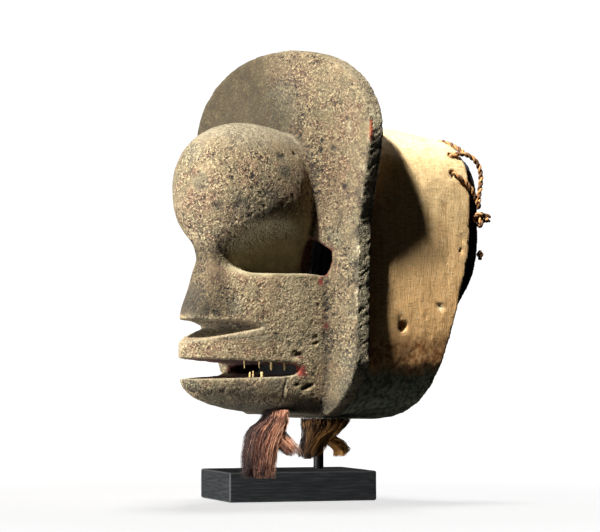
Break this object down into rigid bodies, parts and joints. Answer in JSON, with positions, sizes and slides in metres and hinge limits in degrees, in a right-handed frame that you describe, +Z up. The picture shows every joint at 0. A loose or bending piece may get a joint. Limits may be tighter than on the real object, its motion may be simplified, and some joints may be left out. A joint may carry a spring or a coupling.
{
  "type": "dogon mask",
  "caption": "Carved wooden face mask with an arched board, round forehead, beaked muzzle and hollow back, on a post and plinth.",
  "frame": {"origin": "middle of the plinth's underside", "axes": "+Z is up, the mask's face looks along -Y and its left side is toward +X"},
  "size_m": [0.253, 0.327, 0.446],
  "materials": {
    "carved_wood": "dry, crusted and worn, with no varnish",
    "cane": "matte, split cane",
    "rope": "twisted plant fibre",
    "fibre": "loose red-brown fibre",
    "dark_fibre": "loose dark brown fibre",
    "hood_fibre": "matted dark fibre",
    "plinth_paint": "satin black over a faint grain",
    "post_steel": "satin black"
  },
  "bodies": {
    "root": {"plinth": "plinth_paint", "post": "post_steel", "mask": "carved_wood", "upper_tooth_1": "cane", "upper_tooth_2": "cane", "upper_tooth_3": "cane", "upper_tooth_4": "cane", "lower_tooth_1": "cane", "lower_tooth_2": "cane", "lower_tooth_3": "cane", "hood_remnant": "hood_fibre", "rope_loop": "rope", "rope_strand": "rope", "rim_stitch": "rope", "rope_knot": "rope", "small_knot": "rope", "front_tuft": "fibre", "rear_tuft": "dark_fibre"}
  },
  "joints": []
}
